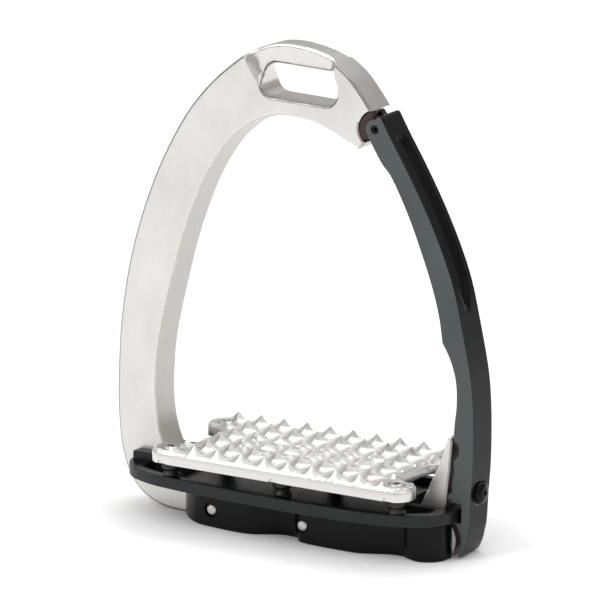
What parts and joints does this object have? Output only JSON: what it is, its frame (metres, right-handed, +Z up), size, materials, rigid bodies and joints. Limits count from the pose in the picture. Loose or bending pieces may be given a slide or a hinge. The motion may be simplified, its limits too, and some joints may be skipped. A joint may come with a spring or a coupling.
{
  "type": "safety stirrup iron",
  "caption": "Stirrup iron with a machined frame, a tilted grip tread on a cushioned tray and an outer arm that swings open sideways to free the foot.",
  "frame": {"origin": "on the flat underside, under the middle of the tread", "axes": "+Z up along the branches, +X towards the hinged arm, -Y the front"},
  "size_m": [0.1451, 0.0528, 0.1729],
  "materials": {
    "satin_aluminium": "bead blasted and lightly brushed, bright edges",
    "bright_aluminium": "machined, bright",
    "black_anodised": "black anodised, satin front, glossy outside",
    "black_moulding": "moulded, semi-gloss",
    "black_coating": "black coated, satin",
    "black_steel": "blackened",
    "bright_steel": "ground",
    "screw_steel": "plain",
    "brown_elastomer": "matt",
    "black_rubber": "semi-gloss"
  },
  "bodies": {
    "iron": {"frame": "satin_aluminium", "housing": "black_moulding", "housing_pin_1": "bright_steel", "housing_pin_2": "bright_steel", "tray": "black_coating", "grip_plate": "bright_aluminium", "cushion_front_1": "black_rubber", "cushion_front_2": "black_rubber", "cushion_front_3": "black_rubber", "cushion_rear_1": "black_rubber", "cushion_rear_2": "black_rubber", "cushion_rear_3": "black_rubber", "plate_screw_front_left": "screw_steel", "plate_screw_front_right": "screw_steel", "plate_screw_rear_left": "screw_steel", "plate_screw_rear_right": "screw_steel"},
    "arm": {"safety_arm": "black_anodised", "hinge_pin": "black_steel", "hinge_ring_front": "brown_elastomer", "hinge_ring_rear": "brown_elastomer", "latch_adjuster": "black_steel", "latch_spring": "bright_steel"},
    "plunger": {"latch_plunger": "bright_steel"}
  },
  "joints": [
    {"name": "arm_hinge", "type": "hinge", "parent": "iron", "child": "arm", "pos_m": [0.0295, 0, 0.1471], "axis": [0, -1, 0], "range_deg": [0, 95]},
    {"name": "plunger_slide", "type": "slide", "parent": "arm", "child": "plunger", "axis": [1, 0, 0], "range_m": [0, 0.0011], "stiffness_N_per_m": 2000, "springref_m": -0.003, "deforming": ["latch_spring"]}
  ]
}
